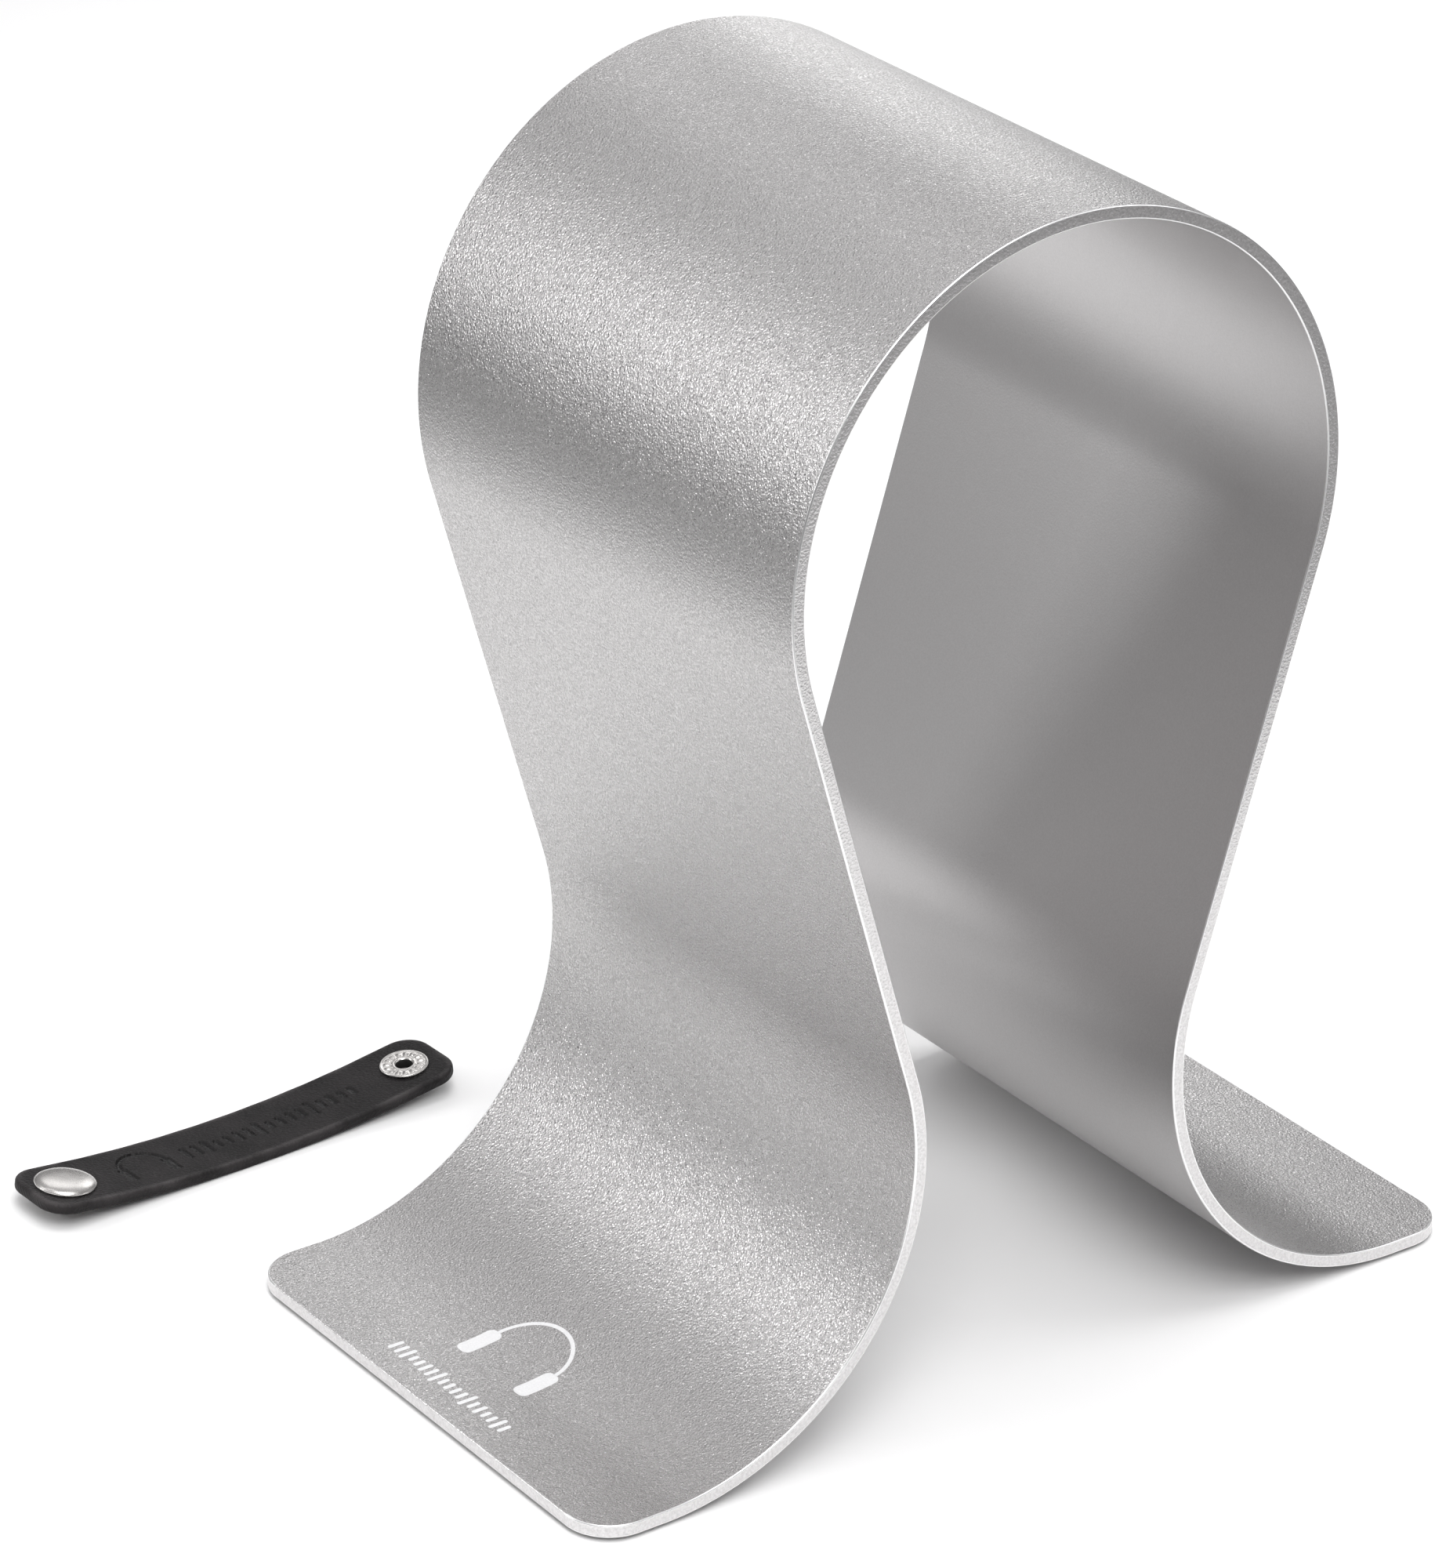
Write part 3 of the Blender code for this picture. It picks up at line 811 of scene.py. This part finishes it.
def build_leather_piece(name, pieces, first, last, turn_from, turn_to, nodes):
    columns = 72
    round_steps = 4
    section = strap_section(columns, round_steps)
    bm = bmesh.new()
    strap_layer = bm.loops.layers.uv.new("along_and_across")
    pressed_layer = bm.verts.layers.float.new("pressed")
    wear_and_highlight_layer = bm.verts.layers.float.new("wear_and_highlight")
    rings = []
    flat = {}
    for run in strap_stations(first, last):
        from_end = min(run, STRAP_LENGTH - run)
        before = run < STRAP_LENGTH / 2
        ring = []
        for share, inset, down, on_top in section:
            start = max(from_end, inset)
            moved = start if before else STRAP_LENGTH - start
            across = share * half_width(start, inset, STRAP_WIDTH, STRAP_CORNER_RADIUS)
            height = STRAP_THICKNESS - down
            if on_top:
                height += leather_relief(moved, across)
            vertex = bm.verts.new(strap_point(pieces, moved, across, height))
            flat[vertex] = (moved, across + (0.0 if on_top else down))
            vertex[pressed_layer] = pressed_share(moved, across) if on_top else 0.0
            # Lighter edges and upper sides: partly wear, partly painted highlight.
            vertex[wear_and_highlight_layer] = wear_and_highlight_share(moved, across, inset, down)
            ring.append(vertex)
        rings.append(ring)
    join_rings(bm, rings)
    for ring, is_tip in ((rings[0], first == 0.0), (rings[-1], last == STRAP_LENGTH)):
        if is_tip:
            close_end(bm, ring, columns + 1, 2 * round_steps)
        else:
            bm.faces.new(ring)
    for face in bm.faces:
        for loop in face.loops:
            loop[strap_layer].uv = flat[loop.vert]
    piece = make_piece(name, bm, [FINISHES["leather"]], None, nodes, 60.0)
    for hole in (SNAP_FROM_END, STRAP_LENGTH - SNAP_FROM_END):
        if first < hole < last:
            drill_leather(piece, pieces, hole)
    piece.visible_glossy = False
    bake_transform(piece)


def drill_leather(piece, pieces, run):
    """Cuts the snap's hole through the finished leather and keeps the result as the piece's mesh."""
    frame = pieces[0][2] if run < STRAP_LENGTH / 2 else pieces[-1][2]
    start = 0.0 if run < STRAP_LENGTH / 2 else pieces[-1][0]
    bm = bmesh.new()
    bmesh.ops.create_cone(bm, cap_ends=True, segments=48, radius1=SNAP_HOLE_RADIUS,
                          radius2=SNAP_HOLE_RADIUS, depth=4 * STRAP_THICKNESS)
    bmesh.ops.transform(bm, matrix=frame @ Matrix.Translation((run - start, 0.0, 0.0)),
                        verts=bm.verts)
    mesh = bpy.data.meshes.new("drill")
    bm.to_mesh(mesh)
    bm.free()
    drill = bpy.data.objects.new("drill", mesh)
    bpy.context.scene.collection.objects.link(drill)
    cut = piece.modifiers.new("hole", "BOOLEAN")
    cut.operation = "DIFFERENCE"
    cut.solver = "EXACT"
    cut.object = drill
    bpy.context.view_layer.update()
    graph = bpy.context.evaluated_depsgraph_get()
    drilled = bpy.data.meshes.new_from_object(piece.evaluated_get(graph))
    piece.modifiers.clear()
    piece.data = drilled
    bpy.data.objects.remove(drill)


def build_leather(pieces):
    """Eight runs of leather that don't overlap, each shaped around one of the wrap's joints."""
    middles = [run + length / 2 for run, length, _ in pieces]
    middles[0] = STRAP_RIGID_END
    middles[-1] = STRAP_LENGTH - STRAP_RIGID_END
    for index in range(len(pieces) - 1):
        first = 0.0 if index == 0 else middles[index]
        last = STRAP_LENGTH if index == len(pieces) - 2 else middles[index + 1]
        nodes = [f"strap_leather_{index + 1}"]
        if index == len(pieces) - 2:
            nodes.append(f"strap_leather_{index + 2}")
        build_leather_piece(f"leather_run_{index + 1}", pieces, first, last,
                            strap_point(pieces, middles[index], 0.0, 0.0),
                            strap_point(pieces, middles[index + 1], 0.0, 0.0), nodes)


# ---------------------------------------------------------------- snap fastener

def arc_points(centre_radius, centre_height, radius, first, last, steps=6):
    """Points (radius, height) on a small arc, angles in degrees from the outward direction."""
    points = []
    for step in range(steps + 1):
        angle = math.radians(first + (last - first) * step / steps)
        points.append((centre_radius + radius * math.cos(angle),
                       centre_height + radius * math.sin(angle)))
    return points


def dome_points(radius, rim_height, top_height, steps=14):
    rise = top_height - rim_height
    sphere = (radius ** 2 + rise ** 2) / (2 * rise)
    half_angle = math.asin(radius / sphere)
    points = []
    for step in range(steps + 1):
        angle = half_angle * (1 - step / steps)
        points.append((sphere * math.sin(angle), top_height - sphere * (1 - math.cos(angle))))
    return points


def crown_points(radius, rim_height, top_height, steps=28):
    """Points of the cap's pressed crown, rim to middle: nearly flat, and rounder towards the rim."""
    points = []
    for step in range(steps + 1):
        share = math.cos(math.pi / 2 * step / steps)
        rise = (1 - share ** 2.6) ** 0.62
        points.append((radius * share, rim_height + (top_height - rim_height) * rise))
    return points


def snap_piece(name, outline, frame, body, finish, node, wave=None, steps=96):
    """Turned snap part; the inside of its bore gets a near-black finish, painted shade for the dark
    hole.
    """
    bm = turned_mesh(outline, steps, wave)
    for face in bm.faces:
        middle = face.calc_center_median()
        inside = math.hypot(middle.x, middle.y) < 2.02 * MM
        if inside and middle.z < STRAP_THICKNESS + 0.45 * MM:
            # Faces inside the bore take the near-black finish: painted shade.
            face.material_index = 1
    bmesh.ops.transform(bm, matrix=frame, verts=bm.verts)
    make_piece(name, bm, [finish, FINISHES["bore"]], body, [node], 40.0)


def build_snaps(pieces):
    top = STRAP_THICKNESS
    nickel = FINISHES["nickel"]
    cap_frame = pieces[0][2] @ Matrix.Translation((SNAP_FROM_END, 0.0, 0.0))
    post_along = pieces[-1][1] - SNAP_FROM_END
    post_frame = pieces[-1][2] @ Matrix.Translation((post_along, 0.0, 0.0))

    rim = CAP_RIM_HEIGHT - 0.1 * MM
    outside = crown_points(CAP_RADIUS - 0.3 * MM, CAP_RIM_HEIGHT + 0.18 * MM, CAP_HEIGHT)
    inside = dome_points(CAP_RADIUS - CAP_WALL, CAP_RIM_HEIGHT, CAP_HEIGHT - CAP_WALL)
    curl = arc_points(CAP_RADIUS - 0.3 * MM, rim, 0.3 * MM, -80.0, 70.0)
    outline = list(reversed(inside)) + [(CAP_RADIUS - CAP_WALL, SNAP_GAP)] + curl + outside[1:]
    snap_piece("cap_dome", [(r, top + z) for r, z in outline], cap_frame, "wrap_cap_end",
               nickel, "snap_cap")

    flange = 4.0 * MM
    rolled = 2.3 * MM
    outline = ([(BARREL_BORE_RADIUS, top + 0.6 * MM), (BARREL_BORE_RADIUS, -0.8 * MM)]
               + arc_points(rolled - 0.1 * MM, -0.82 * MM, 0.08 * MM, -90.0, 90.0)
               + [(BARREL_RADIUS, -0.75 * MM), (BARREL_RADIUS, top + SNAP_GAP),
                  (flange, top + SNAP_GAP), (flange, top + 0.6 * MM)])
    snap_piece("cap_rivet", outline, cap_frame, "wrap_cap_end", nickel,
               "snap_cap_shank", steps=64)

    cavity = SOCKET_RADIUS - 1.3 * MM
    throat = BARREL_RADIUS + SNAP_GAP
    low = -SOCKET_HEIGHT
    outline = ([(throat, -SNAP_GAP), (SOCKET_RADIUS - 0.5 * MM, -SNAP_GAP),
                (SOCKET_RADIUS - 0.05 * MM, -2 * SNAP_GAP)]
               + arc_points(SOCKET_RADIUS - 0.5 * MM, low + 0.5 * MM, 0.5 * MM, 0.0, -90.0)
               + [(SOCKET_MOUTH_RADIUS + 0.15 * MM, low)]
               + arc_points(SOCKET_MOUTH_RADIUS + 0.17 * MM, low + 0.17 * MM, 0.17 * MM, -95.0, -265.0)
               + [(cavity - 0.2 * MM, low + 0.35 * MM), (cavity, low + 0.55 * MM),
                  (cavity, -0.55 * MM), (throat, -0.55 * MM)])
    snap_piece("socket_cup", outline, cap_frame, "wrap_cap_end", nickel, "snap_socket")

    build_ring_spring(cap_frame)

    disc = 0.7 * MM
    bore = BARREL_RADIUS + 0.15 * MM
    neck = STUD_NOSE_RADIUS - 0.15 * MM
    nose = STUD_NOSE_RADIUS
    outline = ([(0.0, -STUD_HEIGHT)]
               + arc_points(nose - 0.6 * MM, -STUD_HEIGHT + 0.6 * MM, 0.6 * MM, -90.0, 0.0)
               + [(neck, -disc - 0.25 * MM), (neck + 0.1 * MM, -disc)]
               + arc_points(STUD_RADIUS - 0.25 * MM, -disc + 0.25 * MM, 0.25 * MM, -90.0, 60.0)
               + [(STUD_RADIUS - 0.4 * MM, -SNAP_GAP), (bore, -SNAP_GAP),
                  (bore, -STUD_HEIGHT + 0.3 * MM), (0.0, -STUD_HEIGHT + 0.3 * MM)])
    snap_piece("stud_nose", outline, post_frame, "wrap_post_end", nickel, "snap_stud")

    crown = top + 3.4 * SNAP_GAP
    outline = ([(BARREL_BORE_RADIUS, -1.1 * MM), (BARREL_RADIUS, -1.1 * MM),
                (BARREL_RADIUS, 0.0), (2.0 * MM, 0.6 * MM), (2.0 * MM, top + SNAP_GAP),
                (POST_RADIUS - 0.3 * MM, top + SNAP_GAP)]
               + arc_points(POST_RADIUS - 0.25 * MM, top + 0.45 * MM, 0.25 * MM, -80.0, 100.0)
               + [(POST_RADIUS - 0.55 * MM, crown - 0.15 * MM),
                  (POST_RADIUS - 0.8 * MM, crown - 0.2 * MM)]
               + [(POST_RADIUS - (0.8 + 0.25 * step) * MM, crown - 0.2 * MM) for step in range(1, 8)]
               + [(2.75 * MM, crown - 0.08 * MM), (2.55 * MM, crown), (2.3 * MM, crown - 0.04 * MM),
                  (2.0 * MM, crown - 0.3 * MM), (1.85 * MM, top), (1.8 * MM, 0.7 * MM),
                  (BARREL_BORE_RADIUS, 0.2 * MM)])

    def bumps(angle, radius, height):
        ridge = math.exp(-((radius - 4.0 * MM) / (0.75 * MM)) ** 4)
        swing = 0.5 + 0.5 * math.cos(15 * angle)
        return 0.28 * MM * ridge * swing if height > top + 0.4 * MM else 0.0

    snap_piece("post_eyelet", outline, post_frame, "wrap_post_end", nickel, "snap_post",
               wave=bumps, steps=240)


def build_ring_spring(frame):
    """Split ring of round wire, seated behind the socket's lip."""
    bm = bmesh.new()
    rings = []
    count = 64
    for step in range(count + 1):
        angle = RING_SPLIT / 2 + (2 * math.pi - RING_SPLIT) * step / count
        ring = []
        for side in range(12):
            around = 2 * math.pi * side / 12
            radius = RING_RADIUS + RING_WIRE_RADIUS * math.cos(around)
            height = -SOCKET_HEIGHT + 0.8 * MM + RING_WIRE_RADIUS * math.sin(around)
            ring.append(bm.verts.new((radius * math.cos(angle), radius * math.sin(angle), height)))
        rings.append(ring)
    join_rings(bm, rings)
    for ring in (rings[0], rings[-1]):
        bm.faces.new(ring)
    bmesh.ops.transform(bm, matrix=frame, verts=bm.verts)
    make_piece("ring_spring", bm, [FINISHES["spring"]], "wrap_cap_end",
               ["snap_ring_spring"], 40.0)


# ---------------------------------------------------------------- printed mark

def border(rows):
    top = rows[0]
    right = [row[-1] for row in rows[1:-1]]
    bottom = list(reversed(rows[-1]))
    left = [row[0] for row in reversed(rows[1:-1])]
    return top + right + bottom + left


def print_patch(bm, rows):
    """Closed thin skin on the sheet over a grid of (from the foot's end, across) points."""
    lift = SHEET_THICKNESS / 2
    layers = []
    for height in (lift - PRINT_THICKNESS, lift + PRINT_THICKNESS):
        layers.append([[bm.verts.new(on_sheet(sheet_place, along, across, height))
                        for along, across in row] for row in rows])
    low, high = layers
    count = len(rows[0])
    for first, second, flip in ((low, low, True), (high, high, False)):
        for row, following in zip(first, second[1:]):
            for index in range(count - 1):
                quad = [row[index], row[index + 1], following[index + 1], following[index]]
                bm.faces.new(reversed(quad) if flip else quad)
    rim_low = border(low)
    rim_high = border(high)
    for index in range(len(rim_low)):
        after = (index + 1) % len(rim_low)
        bm.faces.new((rim_low[index], rim_low[after], rim_high[after], rim_high[index]))


def rounded_block(along, across, half_along, half_across, corner):
    """Grid rows that fill a rounded rectangle on the sheet."""
    rows = []
    steps = 24
    for step in range(steps + 1):
        offset = half_along * math.sin(math.pi / 2 * (2 * step / steps - 1))
        over = max(abs(offset) - (half_along - corner), 0.0)
        half = half_across - corner + math.sqrt(max(corner ** 2 - over ** 2, 0.0))
        half = max(half, 0.02 * MM)
        rows.append([(along + offset, across - half), (along + offset, across + half)])
    return rows


def build_print():
    """Headphone pictogram and a row of sound-wave bars, printed on the left foot."""
    bm = bmesh.new()
    band = 0.42 * PRINT_SIZE
    steps = 48
    rows = []
    for edge in (band - PRINT_LINE / 2, band + PRINT_LINE / 2):
        rows.append([(PRINT_CENTRE + edge * math.sin(math.pi * step / steps),
                      edge * math.cos(math.pi * step / steps)) for step in range(steps + 1)])
    print_patch(bm, rows)
    for side in (-1, 1):
        print_patch(bm, rounded_block(PRINT_CENTRE - 0.17 * PRINT_SIZE, side * band,
                                      0.2 * PRINT_SIZE, 0.085 * PRINT_SIZE, 1.6 * MM))
    pitch = PRINT_BARS_LENGTH / (PRINT_BARS_COUNT - 1)
    for index, height in enumerate(bar_heights(PRINT_BARS_COUNT)):
        across = PRINT_BARS_FIRST - index * pitch
        print_patch(bm, rounded_block(PRINT_BARS_FROM_END, across,
                                      height * PRINT_BARS_HALF_HEIGHT, 0.55 * MM, 0.5 * MM))
    make_piece("foot_print", bm, [FINISHES["ink"]], "root", (), 40.0)


FINISHES = {
    "rubber": pad_rubber(),
    "leather": strap_leather_finish(),
    "nickel": nickel_plate(),
    # Near-black bore metal: painted shade in the snaps' holes.
    "bore": bore_painted_shade(),
    "spring": spring_steel(),
    "ink": print_ink(),
}

make_camera()
make_studio()
make_floor()
sheet_place = build_sheet()
build_pads()
build_print()
strap = strap_pieces()
build_leather(strap)
build_snaps(strap)
